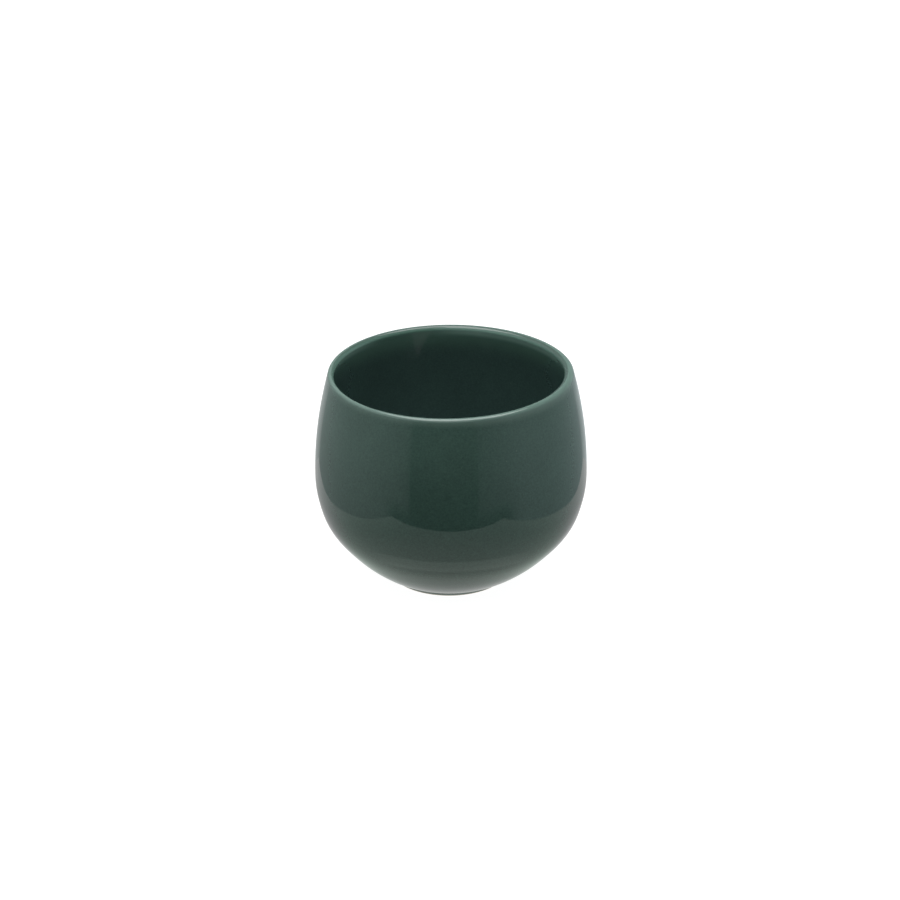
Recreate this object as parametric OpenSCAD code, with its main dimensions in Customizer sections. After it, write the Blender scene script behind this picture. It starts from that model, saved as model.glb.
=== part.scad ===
// Round-bellied glazed pot without a handle: one stoneware body under three separate skins of glaze.
// The pot is a revolve about Z. It stands on its foot ring, with the bare land at z = 0.

/* [Outline, over the glaze] */
// Width across the belly, the widest place
belly_d = 82; // [76:0.5:92]
// Height of the widest place above the table
belly_z = 33; // [30:0.5:37]
// Height to the crown of the lip
height = 66.6; // [58:0.1:80]
// Width across the lip
mouth_d = 73; // [62:0.1:77]
// Radius of the full curve under the belly
hip_r = 30.5; // [27:0.5:32]
// Height at which the full curve runs over into the flatter base curve
hip_z = 14.7; // [12:0.1:18]
// Width across the foot
foot_d = 37.6; // [30:0.1:42]
// Height of the upright foot wall, up to the base curve
foot_h = 0.9; // [0.6:0.1:2]

/* [Wall] */
// Thickness of the wall and the lip, with both coats of glaze
wall_t = 2.4; // [2:0.1:3.2]
// Thickness of the floor, with both coats of glaze
floor_t = 4.1; // [3:0.1:6]
// Thickness of one coat of glaze
glaze_t = 0.3; // [0.2:0.05:0.5]

/* [Foot ring] */
// Width of the clay ring that the pot stands on
ring_w = 3.6; // [2.5:0.1:5]
// Depth of the recess inside the ring, up to the clay
recess_h = 1.6; // [1.2:0.1:2.5]
// Radius that softens both edges of the bare land
land_round = 0.3; // [0.1:0.05:0.4]
// Height of the wiped line below which the foot stays bare
bare_line = 0.4; // [0.3:0.05:0.55]

/* [Colours] */
// Colour of the fired clay
clay_colour = "#B9AE9C";
// Colour of the glaze
glaze_colour = "#2F4A40";

/* [Hidden] */

// Fineness of every round
round_facets = 144;

// Lip: a full round, centred on the middle of the wall
lip_r = wall_t / 2;
lip_x = mouth_d / 2 - lip_r;
lip_z = height - lip_r;

// Upper wall: one long arc, upright at the belly, whose middle passes through the centre of the lip
middle_x = belly_d / 2 - lip_r;
lip_rise = lip_z - belly_z;
lip_draw = middle_x - lip_x;
middle_r = (lip_draw * lip_draw + lip_rise * lip_rise) / (2 * lip_draw);
wall_hub = [middle_x - middle_r, belly_z];
lip_across = [(lip_x - wall_hub[0]) / middle_r, lip_rise / middle_r];

// Hip: a full curve that starts upright at the belly and ends at hip_z
hip_hub = [belly_d / 2 - hip_r, belly_z];
hip_sine = (belly_z - hip_z) / hip_r;
hip_end = [sqrt(1 - hip_sine * hip_sine), -hip_sine];

// Base curve: goes on from the hip without a kink and lands on the top of the foot wall
foot_from_hip = [foot_d / 2, foot_h] - hip_hub - hip_r * hip_end;
base_r = -(foot_from_hip * foot_from_hip) / (2 * foot_from_hip * hip_end);
base_hub = hip_hub + (hip_r - base_r) * hip_end;

// Hollow: upright at the belly and level at the floor, with one round between them
floor_z = recess_h - glaze_t + floor_t;
bowl_r = belly_z - floor_z;
bowl_hub = [belly_d / 2 - wall_t - bowl_r, belly_z];

// Foot ring, in the clay
ring_r = foot_d / 2 - glaze_t;
ring_in_r = ring_r - ring_w;

// A length that reaches past the whole pot
reach = height + belly_d;

// Filled disc in the profile plane
module disc(hub, r) {
    translate(hub)
        circle(r = r, $fn = round_facets);
}

// Rectangle in the profile plane, between two corners
module block(low, high) {
    polygon([low, [high[0], low[1]], high, [low[0], high[1]]]);
}

// Upper wall and its lip, from the belly upwards, at a depth below both of its faces
module wall(depth) {
    intersection() {
        polygon([wall_hub, wall_hub + [reach + middle_r, 0], wall_hub + (reach + middle_r) * lip_across]);
        difference() {
            disc(wall_hub, middle_r + lip_r - depth);
            disc(wall_hub, middle_r - lip_r + depth);
        }
    }
    disc([lip_x, lip_z], lip_r - depth);
}

// Both coats of the upper wall, which run together over the lip
module wall_coats() {
    difference() {
        wall(0);
        wall(glaze_t);
    }
}

// Everything on the inner side of the upper wall's middle
module inner_side() {
    disc(wall_hub, middle_r);
}

// Everything inside the outer face below the belly, at a depth below that face
module below_belly(depth) {
    joint_z = belly_z - (hip_r - depth) * hip_sine;
    intersection() {
        disc(hip_hub, hip_r - depth);
        block([0, joint_z], [reach, belly_z]);
    }
    intersection() {
        disc(base_hub, base_r - depth);
        block([0, 0], [reach, joint_z]);
    }
}

// The same with the upright foot wall
module on_foot(depth) {
    below_belly(depth);
    block([0, 0], [foot_d / 2 - depth, floor_z]);
}

// The hollow below the belly, grown outwards into the wall
module hollow(grown) {
    block([0, floor_z - grown], bowl_hub);
    intersection() {
        disc(bowl_hub, bowl_r + grown);
        block([bowl_hub[0], 0], [reach, belly_z]);
    }
}

// Section of the clay ring, up into the floor, with both edges of its land rounded
module ring_section() {
    ring_top = (recess_h + floor_z) / 2;
    block([ring_in_r, land_round], [ring_r, ring_top]);
    block([ring_in_r + land_round, 0], [ring_r - land_round, ring_top]);
    disc([ring_in_r + land_round, land_round], land_round);
    disc([ring_r - land_round, land_round], land_round);
}

// Full turn of a profile about the pot's axis
module turned() {
    rotate_extrude($fn = round_facets)
        children();
}

// Stoneware: wall, floor and foot ring in one piece, bare on the land only
module clay_body() {
    color(clay_colour)
        turned() {
            wall(glaze_t);
            difference() {
                below_belly(glaze_t);
                hollow(glaze_t);
                block([0, 0], [ring_in_r + land_round, recess_h]);
            }
            ring_section();
        }
}

// Coat on the outside, from the wiped line on the foot to the crown of the lip
module outer_glaze() {
    color(glaze_colour)
        turned() {
            difference() {
                wall_coats();
                inner_side();
            }
            difference() {
                on_foot(0);
                on_foot(glaze_t);
                block([0, 0], [reach, bare_line]);
            }
        }
}

// Coat on the inside, from the floor to the crown of the lip
module liner_glaze() {
    color(glaze_colour)
        turned() {
            intersection() {
                wall_coats();
                inner_side();
            }
            difference() {
                hollow(glaze_t);
                hollow(0);
            }
        }
}

// Coat on the ceiling of the recess inside the foot ring
module base_glaze() {
    color(glaze_colour)
        turned()
            block([0, recess_h - glaze_t], [ring_in_r, recess_h]);
}

clay_body();
outer_glaze();
liner_glaze();
base_glaze();
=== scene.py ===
"""Looks of a round-bellied pot without a handle: stoneware under three coats of dark green glaze."""

import logging
import math
from dataclasses import dataclass
from enum import Enum
from functools import cached_property

import bmesh
import bpy
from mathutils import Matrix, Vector, noise


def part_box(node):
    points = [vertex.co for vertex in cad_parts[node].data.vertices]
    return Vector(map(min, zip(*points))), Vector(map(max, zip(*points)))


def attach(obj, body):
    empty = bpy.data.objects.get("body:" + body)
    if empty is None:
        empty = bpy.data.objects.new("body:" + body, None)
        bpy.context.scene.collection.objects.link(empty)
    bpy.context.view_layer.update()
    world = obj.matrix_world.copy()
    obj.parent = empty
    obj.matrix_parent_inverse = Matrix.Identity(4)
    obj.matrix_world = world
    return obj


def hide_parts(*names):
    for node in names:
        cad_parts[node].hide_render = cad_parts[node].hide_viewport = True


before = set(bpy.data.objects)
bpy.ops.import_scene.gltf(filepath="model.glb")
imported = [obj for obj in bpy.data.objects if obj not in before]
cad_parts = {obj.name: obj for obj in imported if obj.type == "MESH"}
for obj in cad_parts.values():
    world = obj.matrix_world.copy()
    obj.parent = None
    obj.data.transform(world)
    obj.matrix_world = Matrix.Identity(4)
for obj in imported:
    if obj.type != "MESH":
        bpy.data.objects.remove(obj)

LOG = logging.getLogger("pot")

Colour = tuple[float, float, float, float]
Span = tuple[float, float]
Socket = bpy.types.NodeSocket

MM = 0.001
TURN_STEPS = 288  # steps once round the pot
ARC_STEPS = 3  # fewest steps of an arc
MERGE_GAP = 0.001 * MM  # points nearer to each other become one
AXIS_GAP = 1 * MM  # points nearer to the axis do not swell
CREASE_ANGLE = math.radians(32)  # edges over this stay sharp
SPOT_CORE = 0.3  # share of a spot's radius at full strength
WHITE: Colour = (1, 1, 1, 1)


class Slot(Enum):
    """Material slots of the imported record."""

    CLAY = "clay"
    GLAZE = "green_glaze"


class Ray(Enum):
    """Light Path outputs that a stage material tells apart."""

    CAMERA = "Is Camera Ray"
    GLOSSY = "Is Glossy Ray"
    CLEAR = "Is Transmission Ray"
    DIFFUSE = "Is Diffuse Ray"


@dataclass(frozen=True)
class PotForm:
    """The pot's outline over the glaze: rounds that run into each other without a kink.

    Attributes:
        belly_r: Radius at the belly, the widest place.
        height: Height to the crown of the lip.
        bare_line: Height of the wiped line, below which the foot is bare.
        floor_z: Height of the hollow's floor.
        recess_r: Radius of the recess inside the foot ring.
        recess_z: Height of the clay over the recess.
        glaze_t: Thickness of one coat of glaze.
        belly_z: Height of the belly.
        mouth_r: Radius over the lip.
        hip_r: Radius of the full curve under the belly.
        hip_z: Height at which the full curve ends.
        foot_r: Radius of the foot.
        foot_h: Height of the upright foot wall.
        wall_t: Thickness of the wall and the lip.
        land_round: Radius at both edges of the bare land.
    """

    belly_r: float
    height: float
    bare_line: float
    floor_z: float
    recess_r: float
    recess_z: float
    glaze_t: float
    belly_z: float = 33 * MM
    mouth_r: float = 36.5 * MM
    hip_r: float = 30.5 * MM
    hip_z: float = 14.7 * MM
    foot_r: float = 18.8 * MM
    foot_h: float = 0.9 * MM
    wall_t: float = 2.4 * MM
    land_round: float = 0.3 * MM

    @classmethod
    def from_frame(cls) -> "PotForm":
        """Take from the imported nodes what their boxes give.

        Returns:
            The form, with its other sizes at their own values.
        """
        outer_low, outer_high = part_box("outer_glaze")
        liner_low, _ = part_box("liner_glaze")
        base_low, base_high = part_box("base_glaze")
        glaze_t = base_high.z - base_low.z
        return cls(
            belly_r=outer_high.x,
            height=outer_high.z,
            bare_line=outer_low.z,
            floor_z=liner_low.z + glaze_t,
            recess_r=base_high.x,
            recess_z=base_high.z,
            glaze_t=glaze_t,
        )

    @cached_property
    def lip_r(self) -> float:
        """Radius of the lip's full round."""
        return self.wall_t / 2

    @cached_property
    def lip_hub(self) -> Vector:
        """Centre of the lip's round, in the profile plane."""
        return Vector((self.mouth_r - self.lip_r, 0, self.height - self.lip_r))

    @cached_property
    def wall_r(self) -> float:
        """Radius of the arc along the middle of the upper wall."""
        rise = self.lip_hub.z - self.belly_z
        draw = self.belly_r - self.lip_r - self.lip_hub.x
        return (draw * draw + rise * rise) / (2 * draw)

    @cached_property
    def wall_hub(self) -> Vector:
        """Centre of the upper wall's arcs."""
        return Vector((self.belly_r - self.lip_r - self.wall_r, 0, self.belly_z))

    @cached_property
    def lean(self) -> float:
        """Angle of the upper wall's arc at the centre of the lip."""
        return bearing(self.wall_hub, self.lip_hub)

    @cached_property
    def crown(self) -> float:
        """Angle on the lip at which the two coats meet, on the middle of the wall."""
        return self.lean + math.pi / 2 + math.asin(self.lip_r / (2 * self.wall_r))

    @cached_property
    def hip_hub(self) -> Vector:
        """Centre of the full curve under the belly."""
        return Vector((self.belly_r - self.hip_r, 0, self.belly_z))

    @cached_property
    def hip_angle(self) -> float:
        """Angle at which the full curve runs over into the base curve, below the level."""
        return -math.asin((self.belly_z - self.hip_z) / self.hip_r)

    @cached_property
    def base_r(self) -> float:
        """Radius of the flatter base curve, which lands on the top of the foot wall."""
        along = ray(self.hip_angle)
        to_foot = Vector((self.foot_r, 0, self.foot_h)) - self.hip_hub - self.hip_r * along
        return -to_foot.length_squared / (2 * to_foot.dot(along))

    @cached_property
    def base_hub(self) -> Vector:
        """Centre of the base curve."""
        return self.hip_hub + (self.hip_r - self.base_r) * ray(self.hip_angle)

    @cached_property
    def bowl_r(self) -> float:
        """Radius of the round between the hollow's side and its floor."""
        return self.belly_z - self.floor_z

    @cached_property
    def bowl_hub(self) -> Vector:
        """Centre of the hollow's round."""
        return Vector((self.belly_r - self.wall_t - self.bowl_r, 0, self.belly_z))

    def outer_reach(self, z: float) -> float:
        """Distance from the axis to the upper wall's outer arc, at a height."""
        rise = max(0.0, z - self.belly_z)
        radius = self.wall_r + self.lip_r
        return self.wall_hub.x + math.sqrt(radius * radius - rise * rise)

    def base_angle_at(self, depth: float) -> float:
        """Angle on the base curve at which it meets the foot wall.

        Args:
            depth: Depth below the outer face, the same for both.

        Returns:
            The angle about the base curve's centre.
        """
        return -math.acos((self.foot_r - depth - self.base_hub.x) / (self.base_r - depth))


def ray(angle: float) -> Vector:
    """Unit vector in the profile plane, at an angle from +X towards +Z."""
    return Vector((math.cos(angle), 0, math.sin(angle)))


def bearing(hub: Vector, point: Vector) -> float:
    """Angle in the profile plane at which a point lies from a hub."""
    return math.atan2(point.z - hub.z, point.x - hub.x)


def limit(value: float) -> float:
    """The value, kept from 0 to 1."""
    return min(1.0, max(0.0, value))


class ProfilePen:
    """Draws a profile in the XZ plane, edge by edge, and turns it about Z."""

    def __init__(self, start: Vector) -> None:
        """Set the pen down.

        Args:
            start: First point of the profile.
        """
        self.mesh = bmesh.new()
        self.tip = bmesh.ops.create_vert(self.mesh, co=start)["vert"][0]

    def line(self, end: Vector, steps: int = 1) -> None:
        """Draw a straight line.

        Args:
            end: Where the line ends.
            steps: Number of edges.
        """
        stride = (end - self.tip.co) / steps
        for _ in range(steps):
            drawn = bmesh.ops.extrude_vert_indiv(self.mesh, verts=[self.tip])
            self.tip = drawn["verts"][0]
            bmesh.ops.translate(self.mesh, verts=[self.tip], vec=stride)

    def arc(self, hub: Vector, end: float, fine: float) -> None:
        """Draw an arc from the pen's place, the shorter way round.

        Args:
            hub: Centre of the arc.
            end: Angle at which the arc ends, from +X towards +Z.
            fine: Longest step along the arc, in metres.
        """
        radius = (self.tip.co - hub).length
        sweep = math.remainder(end - bearing(hub, self.tip.co), 2 * math.pi)
        steps = max(ARC_STEPS, math.ceil(abs(sweep) * radius / fine))
        drawn = bmesh.ops.spin(
            self.mesh, geom=[self.tip], cent=hub, axis=(0, -1, 0), angle=sweep, steps=steps
        )
        self.tip = next(x for x in drawn["geom_last"] if isinstance(x, bmesh.types.BMVert))

    def close(self) -> None:
        """Join the last point to the first."""
        self.mesh.verts.ensure_lookup_table()
        bmesh.ops.contextual_create(self.mesh, geom=[self.tip, self.mesh.verts[0]])

    def turn(self) -> bmesh.types.BMesh:
        """Turn the profile once round the pot's axis.

        Returns:
            The closed mesh, with its faces outwards.
        """
        bmesh.ops.spin(
            self.mesh,
            geom=self.mesh.verts[:] + self.mesh.edges[:],
            cent=(0, 0, 0),
            axis=(0, 0, 1),
            angle=2 * math.pi,
            steps=TURN_STEPS,
            use_merge=True,
        )
        bmesh.ops.remove_doubles(self.mesh, verts=self.mesh.verts[:], dist=MERGE_GAP)
        bmesh.ops.recalc_face_normals(self.mesh, faces=self.mesh.faces[:])
        return self.mesh


@dataclass(frozen=True)
class ThrownWobble:
    """What a thrown pot keeps of the hand: a rim not quite level, a side not quite round.

    The rim only dips below the CAD height, and nothing reaches past the CAD belly. A power says how
    quickly a movement fades away from the rim or the foot.

    Attributes:
        rim_drop: How far the rim lies below the CAD height, taken all round.
        rim_tilt: How far one side of the rim rises, and the other sinks.
        tilt_high: Turn from +X at which the tilt is highest.
        rim_saddle: How far the rim rises at two opposite places, and sinks between them.
        saddle_high: Turn from +X of one of these places.
        rim_power: Power for the rim's drop, tilt and saddle.
        lip_flare: How far the lip flares.
        flare_left: How much more the lip flares on the left, and less on the right.
        flare_power: Power for the flare.
        lip_lean: How far the inner face of the lip moves along X.
        lean_power: Power for the lean.
        hip_swell: How far the hip swells.
        swell_z: Height at which it swells most.
        swell_span: Distance from there at which the swell ends.
        foot_shift: How far the foot sits along X.
        shift_power: Power for the shift.
        side_dip: Depth of the deepest dip in the side.
        side_span: Width of the dips.
    """

    rim_drop: float = 0.475 * MM
    rim_tilt: float = 0.354 * MM
    tilt_high: float = math.radians(-21.2)
    rim_saddle: float = 0.134 * MM
    saddle_high: float = math.radians(-45)
    rim_power: int = 3
    lip_flare: float = 0.15 * MM
    flare_left: float = 0.12 * MM
    flare_power: int = 12
    lip_lean: float = -0.55 * MM
    lean_power: int = 8
    hip_swell: float = 0.3 * MM
    swell_z: float = 18.5 * MM
    swell_span: float = 7.5 * MM
    foot_shift: float = -0.6 * MM
    shift_power: float = 2.5
    side_dip: float = 0.05 * MM
    side_span: float = 24 * MM

    def apply(self, mesh: bmesh.types.BMesh, form: PotForm) -> None:
        """Move every point of a turned piece by the same field, so that its coats stay together.

        Args:
            mesh: The turned piece.
            form: The pot's outline.
        """
        for vert in mesh.verts:
            share = limit(vert.co.z / form.height)
            below = max(0.0, 1 - vert.co.z / form.belly_z)
            turn = math.atan2(vert.co.y, vert.co.x)
            reach = math.hypot(vert.co.x, vert.co.y)
            around = Vector((math.cos(turn), math.sin(turn), 0))
            swell = noise.noise((around * form.belly_r + Vector((0, 0, vert.co.z))) / self.side_span)
            side = self.side_dip * (swell - 1) / 2 * share * (2 - share)
            flare = (self.lip_flare - self.flare_left * around.x) * share**self.flare_power
            away = (vert.co.z - self.swell_z) / self.swell_span
            hip = self.hip_swell * max(0.0, 1 - away * away) ** 2
            if reach > AXIS_GAP:
                vert.co += around * (side + flare + hip)
            inside = limit((form.outer_reach(vert.co.z) - reach) / form.wall_t)
            shift = self.foot_shift * below**self.shift_power
            vert.co.x += shift + self.lip_lean * inside * share**self.lean_power
            tilt = self.rim_tilt * math.cos(turn - self.tilt_high)
            saddle = self.rim_saddle * math.cos(2 * (turn - self.saddle_high))
            vert.co.z += (tilt + saddle - self.rim_drop) * share**self.rim_power


@dataclass(frozen=True)
class Mottle:
    """A soft noise.

    Attributes:
        size: Width of its features, in millimetres.
        detail: Number of finer octaves.
        rough: Weight of the finer octaves.
    """

    size: float
    detail: float
    rough: float = 0.5


@dataclass(frozen=True)
class Scatter:
    """Scattered round spots.

    Attributes:
        spacing: Distance between the places that may hold a spot, in millimetres.
        radius: Radius of a spot, in millimetres.
        share: Share of the places that hold one.
    """

    spacing: float
    radius: float
    share: float


class NodeBoard:
    """A node tree, with short calls to add and join its nodes. Its lengths are in millimetres."""

    def __init__(self, owner: bpy.types.Material | bpy.types.World) -> None:
        """Clear the owner's nodes.

        Args:
            owner: The material or world.
        """
        owner.use_nodes = True
        self.tree = owner.node_tree
        self.tree.nodes.clear()
        kind = "World" if isinstance(owner, bpy.types.World) else "Material"
        self.output = self.add(f"ShaderNodeOutput{kind}").inputs["Surface"]

    def add(self, kind: str) -> bpy.types.Node:
        """Add a node of a kind."""
        return self.tree.nodes.new(kind)

    def join(self, source: object, target: Socket) -> None:
        """Link a socket into another, or set the other to a value."""
        if isinstance(source, Socket):
            self.tree.links.new(source, target)
        else:
            target.default_value = source

    def place(self) -> Socket:
        """Place on the piece, in millimetres."""
        scaled = self.add("ShaderNodeVectorMath")
        scaled.operation = "SCALE"
        scaled.inputs["Scale"].default_value = 1 / MM
        self.join(self.add("ShaderNodeTexCoord").outputs["Object"], scaled.inputs[0])
        return scaled.outputs[0]

    def math(self, operation: str, *terms: object, clamp: bool = False) -> Socket:
        """Add a Math node.

        Args:
            operation: Blender's name of the operation.
            terms: Sockets or numbers.
            clamp: Whether the result stays between 0 and 1.

        Returns:
            The node's result.
        """
        node = self.add("ShaderNodeMath")
        node.operation = operation
        node.use_clamp = clamp
        for term, target in zip(terms, node.inputs):
            self.join(term, target)
        return node.outputs[0]

    def sides(self) -> tuple[Socket, Socket, Socket]:
        """Distance to the right of the pot's axis, distance in front of it, and height."""
        parts = self.add("ShaderNodeSeparateXYZ")
        self.join(self.place(), parts.inputs[0])
        x, y, z = parts.outputs
        return x, self.math("MULTIPLY", y, -1.0), z

    def axes(self) -> tuple[Socket, Socket, Socket]:
        """Distance from the pot's axis, turn from the front towards the right, and height."""
        right, front, height = self.sides()
        return self.length(right, front), self.math("ARCTAN2", right, front), height

    def length(self, first: object, second: object) -> Socket:
        """Length of a vector of two parts."""
        squares = [self.math("MULTIPLY", part, part) for part in (first, second)]
        return self.math("SQRT", self.math("ADD", *squares))

    def noise(self, mottle: Mottle) -> Socket:
        """Add a noise.

        Args:
            mottle: Its sizes.

        Returns:
            The noise, around 0.5.
        """
        node = self.add("ShaderNodeTexNoise")
        self.join(self.place(), node.inputs["Vector"])
        node.inputs["Scale"].default_value = 1 / mottle.size
        node.inputs["Detail"].default_value = mottle.detail
        node.inputs["Roughness"].default_value = mottle.rough
        return node.outputs["Fac"]

    def spots(self, scatter: Scatter) -> Socket:
        """Add scattered round spots.

        Args:
            scatter: Their sizes.

        Returns:
            1 in a spot, falling to 0 at its edge.
        """
        node = self.add("ShaderNodeTexVoronoi")
        self.join(self.place(), node.inputs["Vector"])
        node.inputs["Scale"].default_value = 1 / scatter.spacing
        edge, core = scatter.radius, SPOT_CORE * scatter.radius
        disc = self.ramp(node.outputs["Distance"], edge / scatter.spacing, core / scatter.spacing)
        parts = self.add("ShaderNodeSeparateColor")
        self.join(node.outputs["Color"], parts.inputs[0])
        return self.math("MULTIPLY", disc, self.math("LESS_THAN", parts.outputs[0], scatter.share))

    def spread(self, value: object, least: float, most: float) -> Socket:
        """Number that goes from the least to the most as a value goes from 0 to 1."""
        return self.math("MULTIPLY_ADD", value, most - least, least)

    def ramp(self, value: object, zero: float, one: float) -> Socket:
        """Add a smooth step.

        Args:
            value: What is stepped.
            zero: Where the result is 0.
            one: Where the result is 1.

        Returns:
            The step, from 0 to 1.
        """
        node = self.add("ShaderNodeMapRange")
        node.interpolation_type = "SMOOTHSTEP"
        for term, target in zip((value, min(zero, one), max(zero, one)), node.inputs):
            self.join(term, target)
        node.inputs["To Min"].default_value = float(zero > one)
        node.inputs["To Max"].default_value = float(zero < one)
        return node.outputs[0]

    def band(self, value: object, rise: Span, fall: Span, beside: object, span: Span) -> Socket:
        """Add a soft band of one value that fades along another.

        Args:
            value: What the band lies across.
            rise: Where the band starts, and where it is full.
            fall: Where the band ends, and where it is still full.
            beside: What the band fades along.
            span: Where it has faded, and where it is full.

        Returns:
            The band, from 0 to 1.
        """
        across = self.math("MULTIPLY", self.ramp(value, *rise), self.ramp(value, *fall))
        return self.math("MULTIPLY", across, self.ramp(beside, *span))

    def slope(self, value: object, zero: float, one: float) -> Socket:
        """Straight rise of a value, from 0 at one place to 1 at another."""
        return self.math("DIVIDE", self.math("SUBTRACT", value, zero), one - zero, clamp=True)

    def mix(self, share: object, first: object, second: object) -> Socket:
        """Mix two colours.

        Args:
            share: Share of the second, from 0 to 1.
            first: Colour or socket.
            second: Colour or socket.

        Returns:
            The mixed colour.
        """
        node = self.add("ShaderNodeMix")
        node.data_type = "RGBA"
        for term, name in ((share, "Factor_Float"), (first, "A_Color"), (second, "B_Color")):
            self.join(term, next(x for x in node.inputs if x.identifier == name))
        return next(x for x in node.outputs if x.identifier == "Result_Color")

    def tint(self, colour: object, factor: object) -> Socket:
        """Multiply a colour by a number.

        Args:
            colour: Colour or socket.
            factor: Number or socket.

        Returns:
            The brighter or darker colour.
        """
        node = self.add("ShaderNodeVectorMath")
        node.operation = "SCALE"
        self.join(colour[:3] if isinstance(colour, tuple) else colour, node.inputs[0])
        self.join(factor, node.inputs["Scale"])
        return node.outputs[0]

    def bump(self, *layers: tuple[Socket, float]) -> Socket:
        """Raise the surface.

        Args:
            layers: Pairs of a height and its depth in millimetres.

        Returns:
            The bumped normal.
        """
        total = None
        for height, depth in layers:
            layer = self.math("MULTIPLY", height, depth * MM)
            total = layer if total is None else self.math("ADD", total, layer)
        node = self.add("ShaderNodeBump")
        node.inputs["Distance"].default_value = 1.0
        self.join(total, node.inputs["Height"])
        return node.outputs[0]

    def skin(self, colour: object, rough: object, normal: object) -> bpy.types.Node:
        """Finish a material with a Principled shader.

        Args:
            colour: Base colour.
            rough: Roughness.
            normal: Bumped normal.

        Returns:
            The shader, for its plain values.
        """
        shader = self.add("ShaderNodeBsdfPrincipled")
        for source, name in ((colour, "Base Color"), (rough, "Roughness"), (normal, "Normal")):
            self.join(source, shader.inputs[name])
        self.join(shader.outputs[0], self.output)
        return shader

    def glow(self, strength: object, tint: object = WHITE) -> Socket:
        """Add a glowing shader.

        Args:
            strength: Its radiance, where 1 is white.
            tint: Its colour or socket.

        Returns:
            The shader.
        """
        node = self.add("ShaderNodeEmission")
        self.join(strength, node.inputs["Strength"])
        self.join(tint, node.inputs["Color"])
        return node.outputs[0]

    def by_ray(self, gains: dict[Ray, object], ground: object = 0.0) -> Socket:
        """Add a number that depends on the kind of ray.

        Args:
            gains: What each kind of ray adds, as a number or socket.
            ground: The number or socket for every ray.

        Returns:
            The number.
        """
        path = self.add("ShaderNodeLightPath")
        total: object = ground
        for kind, gain in gains.items():
            total = self.math("MULTIPLY_ADD", path.outputs[kind.value], gain, total)
        return total


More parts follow.
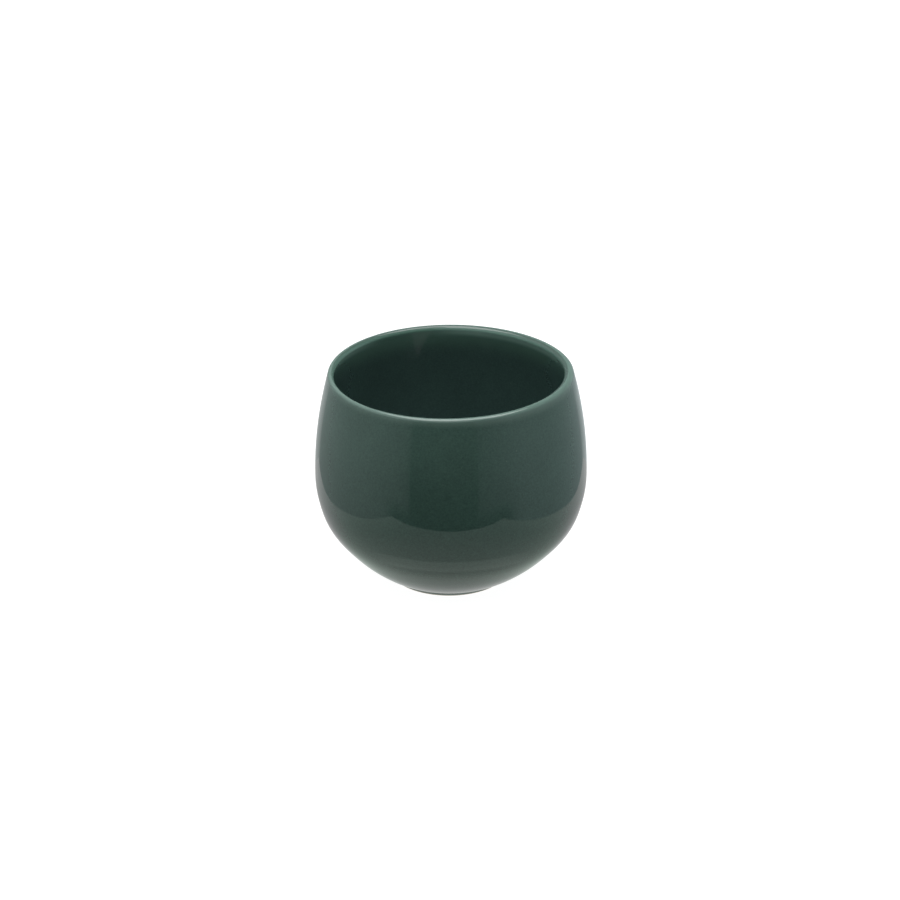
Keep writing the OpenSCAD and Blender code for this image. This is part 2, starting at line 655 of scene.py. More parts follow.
@dataclass(frozen=True)
class GlazeFinish:
    """Dark green glossy glaze, which thins to a pale grey-green where it ran off the lip.

    Lengths are in millimetres. A pair gives where something starts and where it is full, or its least
    and its most.

    Attributes:
        deep: Colour of a full coat; the liner's is darker, as painted shade inside the hollow.
        pale_top: Colour towards the lip, where the coat has run thinner; the liner's far wider band is also
            painted light on the upper inner wall.
        pale_reach: Distance below the lip's centre at which the pale colour starts.
        pale_power: How late it pales on the way up.
        wander: Unevenness of that edge.
        wander_by: How far the edge wanders.
        rolled: Colour of the rolled edge on the foot, made pale as a painted highlight.
        roll: Heights of the rolled edge.
        pooling: Wide clouds in the coat.
        pool_shade: Shades of the clouds.
        pool_depth: Depth of the clouds.
        grain: Fine grain in the coat.
        grain_shade: Shades of the grain.
        grain_depth: Depth of the grain.
        rough: Roughness, which follows the grain.
        ior: Index of refraction.
        speck: Colour of the pale specks.
        specks: Sizes of the specks.
        speck_share: How strong the specks are.
        pinholes: Sizes of the pinholes.
        pinhole_depth: Height of a pinhole, below 0 because it goes in.
        crown: Colour on the crown of the lip, or None for a coat that keeps its thin colour there.
        crown_rise: Heights of the crown's colour, over the lip's centre.
        lip_highlight: Colour of a painted highlight: a pale band below the crown, in two stretches.
        highlight_rise: Heights at the band's lower edge, over the lip's centre.
        highlight_fall: Heights at the band's upper edge, over the lip's centre.
        highlight_middle: Turn from the front to the middle between the stretches.
        highlight_aside: Turn from that middle to each stretch.
        highlight_span: Ends of a stretch, as cosines of the turn from its own middle.
    """

    deep: Colour = (0.032, 0.062, 0.0508, 1)
    pale_top: Colour = (0.08, 0.125, 0.107, 1)
    pale_reach: float = 2.2
    pale_power: float = 1.2
    wander: Mottle = Mottle(5.0, 3.0)
    wander_by: Span = (-0.4, 0.4)
    # Pale rolled edge at the foot: a painted highlight.
    rolled: Colour = (0.2, 0.25, 0.225, 1)
    roll: Span = (1.3, 0.5)
    pooling: Mottle = Mottle(14.0, 3.0, 0.6)
    pool_shade: Span = (0.825, 1.175)
    pool_depth: float = 0.02
    grain: Mottle = Mottle(0.55, 2.0, 0.7)
    grain_shade: Span = (0.65, 1.35)
    grain_depth: float = 0.0012
    rough: Span = (0.015, 0.045)
    ior: float = 1.5
    speck: Colour = (0.12, 0.15, 0.13, 1)
    specks: Scatter = Scatter(2.6, 0.16, 0.22)
    speck_share: float = 0.6
    pinholes: Scatter = Scatter(5.5, 0.14, 0.3)
    pinhole_depth: float = -0.03
    crown: Colour | None = None
    crown_rise: Span = (-0.2, 0.5)
    # Pale band below the crown: a painted highlight.
    lip_highlight: Colour = (0.12, 0.2, 0.17, 1)
    highlight_rise: Span = (-3.2, -1.2)
    highlight_fall: Span = (0.1, -0.7)
    highlight_middle: float = math.radians(25)
    highlight_aside: float = math.radians(110)
    highlight_span: Span = (0.5, 0.85)

    def make(self, form: PotForm) -> bpy.types.Material:
        """Make the material.

        Args:
            form: The pot's outline, for the place of the lip.

        Returns:
            The material.
        """
        material = bpy.data.materials.new("green_glaze")
        board = NodeBoard(material)
        _, turn, height = board.axes()
        # Paler towards the lip, where the coat runs thinner; on the liner it is also painted light on the
        # upper inner wall.
        above = board.math("ADD", height, board.spread(board.noise(self.wander), *self.wander_by))
        paled = board.ramp(above, form.lip_hub.z / MM - self.pale_reach, form.height / MM)
        pooled = board.noise(self.pooling)
        grain = board.noise(self.grain)
        cloud = board.spread(pooled, *self.pool_shade)
        speckle = board.spread(grain, *self.grain_shade)
        deep = board.tint(self.deep, board.math("MULTIPLY", cloud, speckle))
        colour = board.mix(board.math("POWER", paled, self.pale_power), deep, self.pale_top)
        # Painted highlight: the rolled edge on the foot is made pale.
        colour = board.mix(board.ramp(height, *self.roll), colour, self.rolled)
        if self.crown:
            over = board.math("SUBTRACT", height, form.lip_hub.z / MM)
            # Painted highlight: a pale band just below the lip's crown, at the back right and on the left.
            colour = board.mix(self.add_lip_highlight(board, over, turn), colour, self.lip_highlight)
            colour = board.mix(board.ramp(over, *self.crown_rise), colour, self.crown)
        specks = board.spots(self.specks)
        colour = board.mix(board.math("MULTIPLY", specks, self.speck_share), colour, self.speck)
        rough = board.spread(grain, *self.rough)
        pinholes = (board.spots(self.pinholes), self.pinhole_depth)
        normal = board.bump((pooled, self.pool_depth), (grain, self.grain_depth), pinholes)
        board.skin(colour, rough, normal).inputs["IOR"].default_value = self.ior
        return material

    def add_lip_highlight(self, board: NodeBoard, over: Socket, turn: Socket) -> Socket:
        """Add the painted highlight below the crown, a band in two stretches.

        Args:
            board: The material's nodes.
            over: Height over the lip's centre.
            turn: Turn from the front.

        Returns:
            The band, from 0 to 1.
        """
        across = board.math("COSINE", board.math("SUBTRACT", turn, self.highlight_middle))
        aside = board.math("SUBTRACT", board.math("ARCCOSINE", across), self.highlight_aside)
        beside = board.math("COSINE", aside)
        return board.band(over, self.highlight_rise, self.highlight_fall, beside, self.highlight_span)


@dataclass(frozen=True)
class ClayFinish:
    """Bare buff stoneware: matt, grainy, with iron specks and a toasted edge along the glaze.

    Lengths are in millimetres. A pair gives the least and the most.

    Attributes:
        buff: Colour of the clay.
        grain: Its grain.
        grain_shade: Shades of the grain.
        grain_depth: Depth of the grain.
        rough: Roughness, which follows the grain.
        toast: Colour of the toasted edge.
        toast_start: Where the edge starts, as a share of the bare line's height.
        drift: Unevenness of the toasting.
        drift_share: How strong the toasting is.
        iron: Colour of the iron specks.
        specks: Sizes of the specks.
        speck_share: How strong the specks are.
        ridge_step: Distance between the turning lines.
        ridge_depth: Depth of the turning lines.
    """

    buff: Colour = (0.485, 0.423, 0.332, 1)
    grain: Mottle = Mottle(0.35, 4.0, 0.65)
    grain_shade: Span = (0.72, 1.22)
    grain_depth: float = 0.03
    rough: Span = (0.72, 0.92)
    toast: Colour = (0.30, 0.19, 0.11, 1)
    toast_start: float = 0.3
    drift: Mottle = Mottle(4.0, 3.0)
    drift_share: Span = (0.2, 1.0)
    iron: Colour = (0.10, 0.065, 0.04, 1)
    specks: Scatter = Scatter(1.1, 0.14, 0.3)
    speck_share: float = 0.75
    ridge_step: float = 0.45
    ridge_depth: float = 0.004

    def make(self, form: PotForm) -> bpy.types.Material:
        """Make the material.

        Args:
            form: The pot's outline, for the place of the wiped line.

        Returns:
            The material.
        """
        material = bpy.data.materials.new("buff_clay")
        board = NodeBoard(material)
        reach, _, height = board.axes()
        grain = board.noise(self.grain)
        drift = board.noise(self.drift)
        bare_line = form.bare_line / MM
        edge = board.ramp(height, bare_line * self.toast_start, bare_line)
        toasted = board.math("MULTIPLY", edge, board.spread(drift, *self.drift_share))
        shade = board.spread(grain, *self.grain_shade)
        colour = board.mix(toasted, board.tint(self.buff, shade), self.toast)
        specks = board.spots(self.specks)
        colour = board.mix(board.math("MULTIPLY", specks, self.speck_share), colour, self.iron)
        rough = board.spread(grain, *self.rough)
        ridges = board.math("SINE", board.math("MULTIPLY", reach, 2 * math.pi / self.ridge_step))
        board.skin(colour, rough, board.bump((grain, self.grain_depth), (ridges, self.ridge_depth)))
        return material


@dataclass
class TurnedPiece:
    """One solid of the pot: a closed profile, turned once round the axis.

    Attributes:
        form: The pot's outline.
        wobble: What the pot keeps of the hand.
        node: The node that the piece stands for.
        slot: The material slot that its finish belongs to; not used.
        finish: How it is finished.
        fine: Longest step along a face that is seen.
        lip_fine: Longest step along the lip and other small rounds.
        hidden_fine: Longest step along a face that another piece hides.
        hidden_lip_fine: Longest step along the hidden side of the lip.
        hidden_steps: Steps across the hidden side of the floor.
        ceiling_steps: Steps across the hidden ceiling of the recess.
    """

    form: PotForm
    wobble: ThrownWobble
    node: str = ""
    slot: Slot = Slot.GLAZE
    finish: GlazeFinish | ClayFinish = GlazeFinish()
    fine: float = 1.8 * MM
    lip_fine: float = 0.05 * MM
    hidden_fine: float = 5 * MM
    hidden_lip_fine: float = 0.15 * MM
    hidden_steps: int = 4
    ceiling_steps: int = 5

    def draw(self) -> ProfilePen:
        """Draw the closed profile."""
        raise NotImplementedError

    def build(self) -> bpy.types.Object:
        """Turn the profile into a mesh object at the origin.

        Returns:
            The piece, smooth apart from its creases.
        """
        turned = self.draw().turn()
        self.wobble.apply(turned, self.form)
        mesh = bpy.data.meshes.new(f"{self.node}_turned")
        turned.to_mesh(mesh)
        turned.free()
        mesh.shade_smooth()
        mesh.set_sharp_from_angle(angle=CREASE_ANGLE)
        piece = bpy.data.objects.new(mesh.name, mesh)
        bpy.context.scene.collection.objects.link(piece)
        return piece

    def dress(self, piece: bpy.types.Object) -> None:
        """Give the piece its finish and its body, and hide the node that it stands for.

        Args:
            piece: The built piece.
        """
        piece.data.materials.append(self.finish.make(self.form))
        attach(piece, "root")
        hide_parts(self.node)

    def outer_rise(self, pen: ProfilePen, fine: float) -> None:
        """Draw the outside from the base curve up to the lip's foot.

        Args:
            pen: The pen, already on the base curve.
            fine: Longest step.
        """
        form = self.form
        pen.arc(form.base_hub, form.hip_angle, fine)
        pen.arc(form.hip_hub, 0, fine)
        pen.arc(form.wall_hub, form.lean, fine)

    def outer_fall(self, pen: ProfilePen, depth: float, fine: float) -> None:
        """Draw the outside from the lip's foot down to the foot wall.

        Args:
            pen: The pen, already at the top of the upper wall.
            depth: Depth below the outer face.
            fine: Longest step.
        """
        form = self.form
        pen.arc(form.wall_hub, 0, fine)
        pen.arc(form.hip_hub, form.hip_angle, fine)
        pen.arc(form.base_hub, form.base_angle_at(depth), fine)


@dataclass
class ClayBody(TurnedPiece):
    """The stoneware: wall, floor and foot ring in one, seen only on the foot.

    Attributes:
        ring_steps: Steps down the inside of the foot ring.
        land_steps: Steps across the bare land.
        foot_steps: Steps up the foot wall.
    """

    node: str = "clay_body"
    slot: Slot = Slot.CLAY
    finish: GlazeFinish | ClayFinish = ClayFinish()
    ring_steps: int = 4
    land_steps: int = 8
    foot_steps: int = 3

    def draw(self) -> ProfilePen:
        """Draw the profile from the middle of the recess round to the middle of the floor."""
        form, skin = self.form, self.form.glaze_t
        ring_r, round_r = form.foot_r - skin, form.land_round
        pen = ProfilePen(Vector((0, 0, form.recess_z)))
        pen.line(Vector((form.recess_r, 0, form.recess_z)), self.ceiling_steps)
        pen.line(Vector((form.recess_r, 0, round_r)), self.ring_steps)
        pen.arc(Vector((form.recess_r + round_r, 0, round_r)), -math.pi / 2, self.lip_fine)
        pen.line(Vector((ring_r - round_r, 0, 0)), self.land_steps)
        pen.arc(Vector((ring_r - round_r, 0, round_r)), 0, self.lip_fine)
        foot_top = form.base_hub + (form.base_r - skin) * ray(form.base_angle_at(skin))
        pen.line(foot_top, self.foot_steps)
        self.outer_rise(pen, self.hidden_fine)
        pen.arc(form.lip_hub, form.crown, self.hidden_lip_fine)
        pen.arc(form.lip_hub, form.lean + math.pi, self.hidden_lip_fine)
        pen.arc(form.wall_hub, 0, self.hidden_fine)
        pen.arc(form.bowl_hub, -math.pi / 2, self.hidden_fine)
        pen.line(Vector((0, 0, form.floor_z - skin)), self.hidden_steps)
        return pen


@dataclass
class OuterCoat(TurnedPiece):
    """The coat on the outside, from its rolled edge on the foot to the crown of the lip.

    Attributes:
        cove_r: Radius of the round in which glaze has pooled at the top of the foot wall.
    """

    node: str = "outer_glaze"
    cove_r: float = 0.35 * MM

    def draw(self) -> ProfilePen:
        """Draw the profile, up the seen face and down along the clay."""
        form, skin = self.form, self.form.glaze_t
        roll = Vector((form.foot_r - skin / 2, 0, form.bare_line + skin / 2))
        pen = ProfilePen(roll - Vector((skin / 2, 0, 0)))
        pen.arc(roll, -math.pi / 2, self.lip_fine)
        pen.arc(roll, 0, self.lip_fine)
        cove = self.cove_hub()
        pen.line(Vector((form.foot_r, 0, cove.z)))
        pen.arc(cove, bearing(cove, form.base_hub), self.lip_fine)
        self.outer_rise(pen, self.fine)
        pen.arc(form.lip_hub, form.crown, self.lip_fine)
        pen.line(form.lip_hub + (form.lip_r - skin) * ray(form.crown))
        pen.arc(form.lip_hub, form.lean, self.hidden_lip_fine)
        self.outer_fall(pen, skin, self.hidden_fine)
        pen.close()
        return pen

    def cove_hub(self) -> Vector:
        """Centre of the small round in which glaze has pooled between foot wall and base curve."""
        form = self.form
        x = form.foot_r + self.cove_r
        out = x - form.base_hub.x
        reach = form.base_r + self.cove_r
        return Vector((x, 0, form.base_hub.z - math.sqrt(reach * reach - out * out)))


@dataclass
class LinerCoat(TurnedPiece):
    """The coat on the inside, from the middle of the floor to the crown of the lip.

    Attributes:
        floor_steps: Steps across the level floor.
    """

    node: str = "liner_glaze"
    floor_steps: int = 8
    # The liner's darker deep colour is painted shade inside the hollow, and its pale colour 12 mm down the
    # wall is painted light on the upper inner wall.
    finish: GlazeFinish | ClayFinish = GlazeFinish(
        deep=(0.0235, 0.0445, 0.04, 1),
        pale_top=(0.058, 0.115, 0.09, 1),
        pale_reach=12.0,
        pale_power=1.6,
        # A crown also gives the liner the painted highlight band below it.
        crown=(0.044, 0.07, 0.06, 1),
    )

    def draw(self) -> ProfilePen:
        """Draw the profile, up the seen face and down along the clay."""
        form, skin = self.form, self.form.glaze_t
        pen = ProfilePen(Vector((0, 0, form.floor_z)))
        pen.line(Vector((form.bowl_hub.x, 0, form.floor_z)), self.floor_steps)
        pen.arc(form.bowl_hub, 0, self.fine)
        pen.arc(form.wall_hub, form.lean, self.fine)
        pen.arc(form.lip_hub, form.crown, self.lip_fine)
        pen.line(form.lip_hub + (form.lip_r - skin) * ray(form.crown))
        pen.arc(form.lip_hub, form.lean + math.pi, self.hidden_lip_fine)
        pen.arc(form.wall_hub, 0, self.hidden_fine)
        pen.arc(form.bowl_hub, -math.pi / 2, self.hidden_fine)
        pen.line(Vector((0, 0, form.floor_z - skin)), self.hidden_steps)
        return pen


@dataclass
class BaseCoat(TurnedPiece):
    """The coat on the ceiling of the recess, which runs a little way down the ring.

    Attributes:
        climb_r: Radius of the round in which glaze has pooled against the ring.
        face_steps: Steps across the seen face.
        edge_steps: Steps up along the ring.
    """

    node: str = "base_glaze"
    climb_r: float = 0.45 * MM
    face_steps: int = 10
    edge_steps: int = 2

    def draw(self) -> ProfilePen:
        """Draw the profile from the middle of the seen face out to the ring and back."""
        form = self.form
        face_z = form.recess_z - form.glaze_t
        climb = Vector((form.recess_r - self.climb_r, 0, face_z - self.climb_r))
        pen = ProfilePen(Vector((0, 0, face_z)))
        pen.line(Vector((climb.x, 0, face_z)), self.face_steps)
        pen.arc(climb, 0, self.lip_fine)
        pen.line(Vector((form.recess_r, 0, form.recess_z)), self.edge_steps)
        pen.line(Vector((0, 0, form.recess_z)), self.ceiling_steps)
        return pen


@dataclass(frozen=True)
class Viewpoint:
    """Where the camera stands, and where it aims.

    Attributes:
        elevation: Angle of its place above the level.
        distance: Distance of its place from the pot.
        over: Point of the pot that both are measured from.
        aim: Point that it looks at.
        lens: Focal length, in millimetres.
        sensor: Width of the sensor, in millimetres.
    """

    elevation: float = math.radians(25.63)
    distance: float = 758.4 * MM
    over: Vector = Vector((0, 0, 33 * MM))
    aim: Vector = Vector((-0.288 * MM, 0, 39.885 * MM))
    lens: float = 100.42
    sensor: float = 36.0

    def make(self) -> None:
        """Make the scene's camera."""
        camera = bpy.data.objects.new("camera", bpy.data.cameras.new("camera"))
        bpy.context.scene.collection.objects.link(camera)
        camera.data.sensor_width = self.sensor
        camera.data.lens = self.lens
        back = Vector((0, -math.cos(self.elevation), math.sin(self.elevation)))
        camera.location = self.over + self.distance * back
        camera.rotation_mode = "QUATERNION"
        camera.rotation_quaternion = (self.aim - camera.location).to_track_quat("-Z", "Y")
        bpy.context.scene.camera = camera


@dataclass(frozen=True)
class Floor:
    """The white floor: it takes light and the pot's shadow, and goes on to white for the camera.

    Lengths are in millimetres. A pair of radii gives where something starts and where it is full. A pair
    for the front does the same with the cosine of the turn from the front.

    Attributes:
        size: Width of the floor.
        drop: How far it lies below the foot.
        paper: Share of the light that the paper sends to the camera.
        bounce_near: Share that it sends to the pot, close by.
        bounce_far: Share that it sends to the pot, further off.
        sheet_r: Radii between which the one runs over into the other.
        camera_share: Share of plain white in what the camera sees.
        camera_white: Radiance of that white.
        foot_glow: Radiance under the pot, which lights its base.
        foot_glow_r: Radii of that light.
        mirror_share: Share of its own radiance in what the glaze mirrors, with the paper as the rest.
        mirror_tint: Tint of that radiance before the pot.
        tint_r: Radii of the tint.
        tint_front: Reach of the tint round the front.
        mirror_plain: Mirrored radiance away from the pot.
        mirror_foot: Mirrored radiance under the pot.
        mirror_r: Radii between which the one runs over into the other.
        mirror_side: What the floor gains aside of the pot.
        side_x: Distances aside over which it gains that.
        apron: What a wide apron before the pot gains.
        apron_in: Inner radii of the apron.
        apron_out: Outer radii of the apron.
        apron_front: Reach of the apron round the front.
        lit_ring: What a narrow ring before the pot gains.
        ring_in: Inner radii of the ring.
        ring_out: Outer radii of the ring.
        ring_front: Reach of the ring round the front.
    """

    size: float = 6000
    drop: float = 0.05
    paper: float = 0.8
    bounce_near: float = 0.28
    bounce_far: float = 0.15
    sheet_r: Span = (80, 140)
    camera_share: float = 0.8
    camera_white: float = 1.22
    foot_glow: float = 1.0
    foot_glow_r: Span = (34, 22)
    mirror_share: float = 0.75
    mirror_tint: Colour = (0.85, 1, 0.9, 1)
    tint_r: Span = (14, 34)
    tint_front: Span = (-0.3, 0.4)
    mirror_plain: float = 0.6
    mirror_foot: float = 0.94
    mirror_r: Span = (72, 34)
    mirror_side: float = 0.26
    side_x: Span = (50, 88)
    apron: float = 0.17
    apron_in: Span = (38, 54)
    apron_out: Span = (98, 58)
    apron_front: Span = (0.0, 0.8)
    lit_ring: float = 0.4
    ring_in: Span = (37, 40.5)
    ring_out: Span = (52, 49)
    ring_front: Span = (0.5, 0.92)

    def make(self) -> None:
        """Lay the floor."""
        sheet = bmesh.new()
        bmesh.ops.create_grid(sheet, x_segments=1, y_segments=1, size=self.size * MM / 2)
        bmesh.ops.translate(sheet, verts=sheet.verts[:], vec=(0, 0, -self.drop * MM))
        material = bpy.data.materials.new("white_floor")
        board = NodeBoard(material)
        reach, turn, _ = board.axes()
        near = board.ramp(reach, *reversed(self.sheet_r))
        bounce = board.spread(near, self.bounce_far, self.bounce_near)
        paper = board.add("ShaderNodeBsdfDiffuse")
        lift = board.math("SUBTRACT", self.paper, bounce)
        board.join(board.by_ray({Ray.CAMERA: lift}, bounce), paper.inputs["Color"])
        seen = {
            Ray.CAMERA: self.camera_white,
            Ray.CLEAR: self.camera_white,
            Ray.GLOSSY: self.mirrored(board, reach, turn),
            Ray.DIFFUSE: self.foot_glow,
        }
        shares = {
            Ray.CAMERA: self.camera_share,
            Ray.CLEAR: self.camera_share,
            Ray.GLOSSY: self.mirror_share,
            Ray.DIFFUSE: board.ramp(reach, *self.foot_glow_r),
        }
        fore = board.ramp(board.math("COSINE", turn), *self.tint_front)
        tinted = board.math("MULTIPLY", fore, board.ramp(reach, *self.tint_r))
        tint = board.mix(board.by_ray({Ray.GLOSSY: tinted}), WHITE, self.mirror_tint)
        either = board.add("ShaderNodeMixShader")
        board.join(board.by_ray(shares), either.inputs[0])
        board.join(paper.outputs[0], either.inputs[1])
        board.join(board.glow(board.by_ray(seen), tint), either.inputs[2])
        board.join(either.outputs[0], board.output)
        on_stage("floor", sheet, material)

    def mirrored(self, board: NodeBoard, reach: Socket, turn: Socket) -> Socket:
        """Add the radiance that the glaze mirrors.

        Args:
            board: The floor's nodes.
            reach: Distance from the pot's axis.
            turn: Turn from the front.

        Returns:
            The radiance: brighter under the pot, aside of it, and in an apron and a ring before it.
        """
        foot = board.ramp(reach, *self.mirror_r)
        aside = board.math("ABSOLUTE", board.math("MULTIPLY", reach, board.math("SINE", turn)))
        fore = board.math("COSINE", turn)
        total: object = self.mirror_plain
        for share, gain in (
            (foot, self.mirror_foot - self.mirror_plain),
            (board.ramp(aside, *self.side_x), self.mirror_side),
            (board.band(reach, self.apron_in, self.apron_out, fore, self.apron_front), self.apron),
            (board.band(reach, self.ring_in, self.ring_out, fore, self.ring_front), self.lit_ring),
        ):
            total = board.math("MULTIPLY_ADD", share, gain, total)
        return total


@dataclass(frozen=True)
class TentSide:
    """How one side of the tent glows, from its edge at the opening to its back.

    Heights are in millimetres. A pair gives where something starts and where it is full.

    Attributes:
        glow: Radiance of the cloth.
        tint: Its tint.
        edge: Turn at which the side starts.
        full: Turn at which it is full.
        edge_share: Share of the radiance at its edge.
        curve: Power of the rise from the edge.
        aside: Turns over which it gets a little darker, beside the pot.
        aside_share: Share that is lost there.
        back: Turns of the darker back.
        back_rise: Heights of the darker back.
        back_share: Share that is lost there.
        top: Share that the top gains, or loses where this is below 0.
        top_rise: Heights of the top.
        hem: Heights of the dark hem.
        hem_share: Share that the hem loses.
        corner: Turns of the hem, which lies beside the opening.
        foot_share: Share that is lost at the floor.
        foot_height: Height above which nothing of that is lost.
    """

    glow: float
    tint: Colour
    edge: float
    full: float
    edge_share: float
    curve: float = 1.0
    aside: Span = (math.radians(85), math.radians(125))
    aside_share: float = 0.05
    back: Span = (math.radians(130), math.radians(165))
    back_rise: Span = (28, 42)
    back_share: float = 0.6
    top: float = 0.0
    top_rise: Span = (75, 120)
    hem: Span = (18, 2)
    hem_share: float = 0.8
    corner: Span = (math.radians(48), math.radians(38))
    foot_share: float = 0.2
    foot_height: float = 45

    def strength(self, board: NodeBoard, turn: Socket, height: Socket) -> Socket:
        """Add the side's radiance.

        Args:
            board: The tent's nodes.
            turn: Turn from the opening towards this side.
            height: Height above the floor.

        Returns:
            The radiance, 0 on the other side.
        """
        on = board.math("GREATER_THAN", turn, self.edge)
        rise = board.math("POWER", board.slope(turn, self.edge, self.full), self.curve)
        hem = board.math("MULTIPLY", board.ramp(height, *self.hem), board.ramp(turn, *self.corner))
        back = board.math("MULTIPLY", board.ramp(height, *self.back_rise), board.ramp(turn, *self.back))
        total = board.math("MULTIPLY", on, self.glow)
        for share, gain, start in (
            (rise, 1 - self.edge_share, self.edge_share),
            (board.ramp(turn, *self.aside), -self.aside_share, 1.0),
            (back, -self.back_share, 1.0),
            (board.ramp(height, *self.top_rise), self.top, 1.0),
            (board.ramp(height, self.foot_height, 0), -self.foot_share, 1.0),
            (hem, -self.hem_share, 1.0),
        ):
            total = board.math("MULTIPLY", total, board.math("MULTIPLY_ADD", share, gain, start))
        return total


@dataclass(frozen=True)
class Tent:
    """The upright sides of a light tent, open to the lens. The camera does not see it.

    Lengths are in millimetres. A pair of turns or heights gives where something starts and where it is full.

    Attributes:
        half_width: How far the sides stand from the pot's axis.
        front: How far the middle of the bowed front stands from it.
        left_corner: How far the left corner stands aside, and out to the front.
        right_corner: The same for the right corner.
        back: How far the sides reach to the back.
        height: Height of the cloth.
        steps: Straight stretches in each curve of the plan.
        opening: Radiance of the gap between the two sides.
        opening_rise: Heights over which the gap gets it.
        valance: What the gap gains above the pot.
        valance_rise: Heights over which it gains that.
        rear: Radiance low at the back.
        rear_turn: Turns of that light.
        rear_rise: Heights of that light.
        left: How the left side glows.
        right: How the right side glows.
    """

    half_width: float = 90.5
    front: float = 104
    left_corner: tuple[float, float] = (81, 90)
    right_corner: tuple[float, float] = (72, 96)
    back: float = 75
    height: float = 220
    steps: int = 12
    opening: float = 0.06
    opening_rise: Span = (20, 50)
    valance: float = 0.6
    valance_rise: Span = (85, 130)
    rear: float = 0.24
    rear_turn: Span = (math.radians(124), math.radians(131))
    rear_rise: Span = (42, 28)
    left: TentSide = TentSide(
        glow=0.57,
        tint=(0.93, 1, 1, 1),
        edge=math.radians(27.8),
        full=math.radians(62),
        edge_share=0.25,
        curve=0.5,
        aside_share=0.17,
        top=0.9,
    )
    right: TentSide = TentSide(
        glow=0.55,
        tint=(0.87, 1, 1.03, 1),
        edge=math.radians(18.3),
        full=math.radians(52),
        edge_share=0.32,
        top=-0.7,
    )

    def plan(self, corner: tuple[float, float]) -> list[tuple[float, float]]:
        """Plan of one half of the cloth, from its back to the middle of the bowed front.

        Args:
            corner: How far the half's corner stands aside and out to the front.

        Returns:
            Places aside and towards the back, in millimetres.
        """
        across, out = corner
        drawn_in, bowed_out = self.half_width - across, self.front - out
        shares = [step / self.steps for step in range(self.steps + 1)]
        side = [(self.half_width - drawn_in * share**2, -out * share) for share in shares]
        rests = [1 - share for share in shares]
        bow = [(across * rest, -self.front + bowed_out * rest**2) for rest in rests]
        return [(self.half_width, self.back), *side, *bow[1:]]

    def make(self) -> None:
        """Stand the tent round the pot."""
        left = [(-x, y) for x, y in self.plan(self.left_corner)]
        right = self.plan(self.right_corner)[:-1]
        start, *rest = [Vector((x, y, 0)) * MM for x, y in (*left, *reversed(right))]
        pen = ProfilePen(start)
        for point in rest:
            pen.line(point)
        pen.close()
        raised = bmesh.ops.extrude_edge_only(pen.mesh, edges=pen.mesh.edges[:])["geom"]
        top = [part for part in raised if isinstance(part, bmesh.types.BMVert)]
        bmesh.ops.translate(pen.mesh, verts=top, vec=Vector((0, 0, self.height)) * MM)
        material = bpy.data.materials.new("tent")
        board = NodeBoard(material)
        _, turn, height = board.axes()
        turns = (board.math("MULTIPLY", turn, -1.0), turn)
        low = board.math("MULTIPLY", board.ramp(height, *self.opening_rise), self.opening)
        lit = board.math("MULTIPLY_ADD", board.ramp(height, *self.valance_rise), self.valance, low)
        for side, towards in zip((self.left, self.right), turns):
            lit = board.math("MULTIPLY", lit, board.math("LESS_THAN", towards, side.edge))
        rear = board.ramp(board.math("ABSOLUTE", turn), *self.rear_turn)
        rear = board.math("MULTIPLY", rear, board.ramp(height, *self.rear_rise))
        total = board.glow(board.math("MULTIPLY_ADD", rear, self.rear, lit))
        for side, towards in zip((self.left, self.right), turns):
            both = board.add("ShaderNodeAddShader")
            board.join(total, both.inputs[0])
            board.join(board.glow(side.strength(board, towards, height), side.tint), both.inputs[1])
            total = both.outputs[0]
        board.join(total, board.output)
        tent = on_stage("tent", pen.mesh, material)
        tent.visible_camera = tent.visible_shadow = False


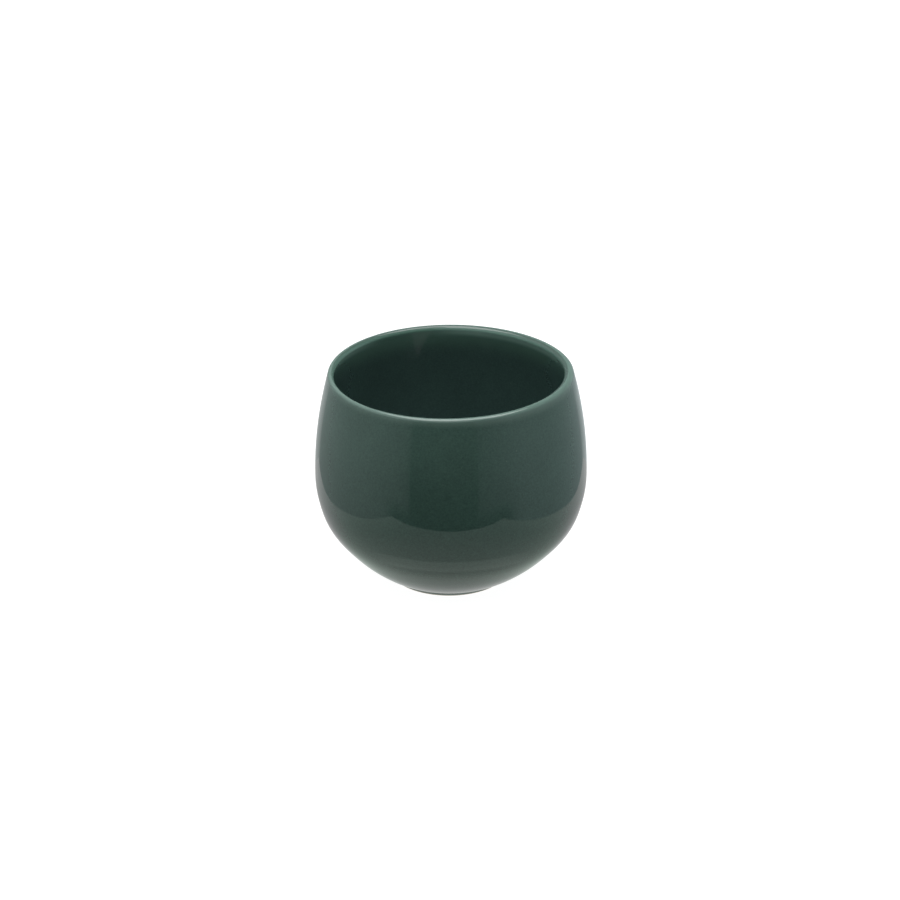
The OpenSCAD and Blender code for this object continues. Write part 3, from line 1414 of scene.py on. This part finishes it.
@dataclass(frozen=True)
class Softbox:
    """The one large lamp, overhead.

    Lengths are in millimetres.

    Attributes:
        size: Width of the lamp.
        height: Height above the floor.
        back: How far its middle lies behind the pot, or before it where this is below 0.
        glow: Its radiance.
        dim_share: Share of one corner's light that the glaze does not mirror.
        dim_right: Distances to the right over which that corner dims.
        dim_front: Distances to the front over which that corner dims.
    """

    size: float = 950
    height: float = 600
    back: float = -110
    glow: float = 5.2
    dim_share: float = 0.7
    dim_right: Span = (0, 60)
    dim_front: Span = (60, 160)

    def make(self) -> None:
        """Hang the softbox, face down."""
        sheet = bmesh.new()
        bmesh.ops.create_grid(sheet, x_segments=1, y_segments=1, size=self.size * MM / 2)
        bmesh.ops.translate(sheet, verts=sheet.verts[:], vec=Vector((0, self.back, self.height)) * MM)
        material = bpy.data.materials.new("softbox")
        board = NodeBoard(material)
        right, front, _ = board.sides()
        dim = board.math("MULTIPLY", board.ramp(right, *self.dim_right), board.ramp(front, *self.dim_front))
        lost = board.math("MULTIPLY", dim, -self.glow * self.dim_share)
        board.join(board.glow(board.by_ray({Ray.GLOSSY: lost}, self.glow)), board.output)
        on_stage("softbox", sheet, material).visible_camera = False


@dataclass(frozen=True)
class Backdrop:
    """The world: white to the camera, greyer to the glaze, dim to the rest.

    Attributes:
        white: Radiance to the camera.
        glossy: Radiance to the glaze.
        fill: Radiance to the rest.
    """

    white: float = 1.0
    glossy: float = 0.7
    fill: float = 0.2

    def make(self) -> None:
        """Make the world."""
        world = bpy.data.worlds.new("studio")
        board = NodeBoard(world)
        back = board.add("ShaderNodeBackground")
        lift = self.white - self.fill
        gains = {Ray.CAMERA: lift, Ray.CLEAR: lift, Ray.GLOSSY: self.glossy - self.fill}
        back.inputs["Color"].default_value = WHITE
        board.join(board.by_ray(gains, self.fill), back.inputs["Strength"])
        board.join(back.outputs[0], board.output)
        bpy.context.scene.world = world


def on_stage(name: str, shape: bmesh.types.BMesh, material: bpy.types.Material) -> bpy.types.Object:
    """Put a finished shape on the stage.

    Args:
        name: Name of the object and its mesh.
        shape: The shape, which is freed.
        material: Its material.

    Returns:
        The object.
    """
    mesh = bpy.data.meshes.new(name)
    shape.to_mesh(mesh)
    shape.free()
    mesh.materials.append(material)
    thing = bpy.data.objects.new(name, mesh)
    bpy.context.scene.collection.objects.link(thing)
    return thing


def main() -> None:
    """Build the pot's pieces in order, then the studio round them."""
    logging.basicConfig(level=logging.INFO, format="%(name)s: %(message)s")
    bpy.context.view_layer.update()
    form, wobble = PotForm.from_frame(), ThrownWobble()
    kinds: tuple[type[TurnedPiece], ...] = (ClayBody, OuterCoat, LinerCoat, BaseCoat)
    for kind in kinds:
        turned = kind(form, wobble)
        piece = turned.build()
        turned.dress(piece)
        LOG.info("%s: %d faces for node %s", piece.name, len(piece.data.polygons), turned.node)
    for part in (Viewpoint(), Floor(), Tent(), Softbox(), Backdrop()):
        part.make()
    bpy.context.scene.view_settings.view_transform = "Standard"


if __name__ == "__main__":
    main()
